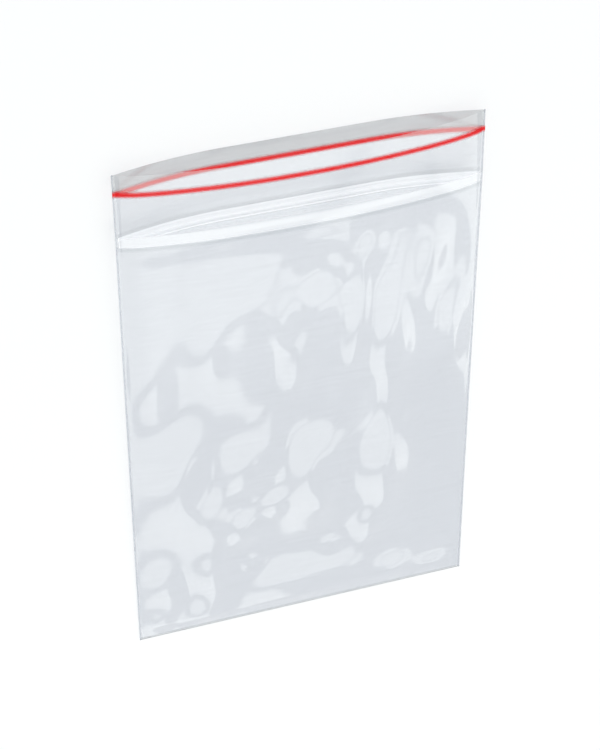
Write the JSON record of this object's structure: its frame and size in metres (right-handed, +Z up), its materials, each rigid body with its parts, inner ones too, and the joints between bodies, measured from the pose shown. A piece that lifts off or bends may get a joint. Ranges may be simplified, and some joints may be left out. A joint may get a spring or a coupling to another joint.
{
  "type": "zipper bag",
  "caption": "Flat clear plastic bag folded at the bottom and welded up both sides, with a press-to-close zipper and red opening lines across its parted mouth.",
  "frame": {"origin": "on the table, under the middle of the bag as it lies on its back panel", "axes": "+X across the bag, +Y from the bottom fold to the mouth, +Z up out of the front panel"},
  "size_m": [0.1, 0.16, 0.0108],
  "materials": {
    "clear_film": "clear glossy polythene film",
    "clear_profile": "clear extruded polythene profile",
    "red_stripe": "red coextruded polythene stripe"
  },
  "bodies": {
    "root": {"film_pouch": "clear_film", "zipper_rib": "clear_profile", "zipper_channel": "clear_profile", "front_red_line": "red_stripe", "back_red_line": "red_stripe"}
  },
  "joints": []
}
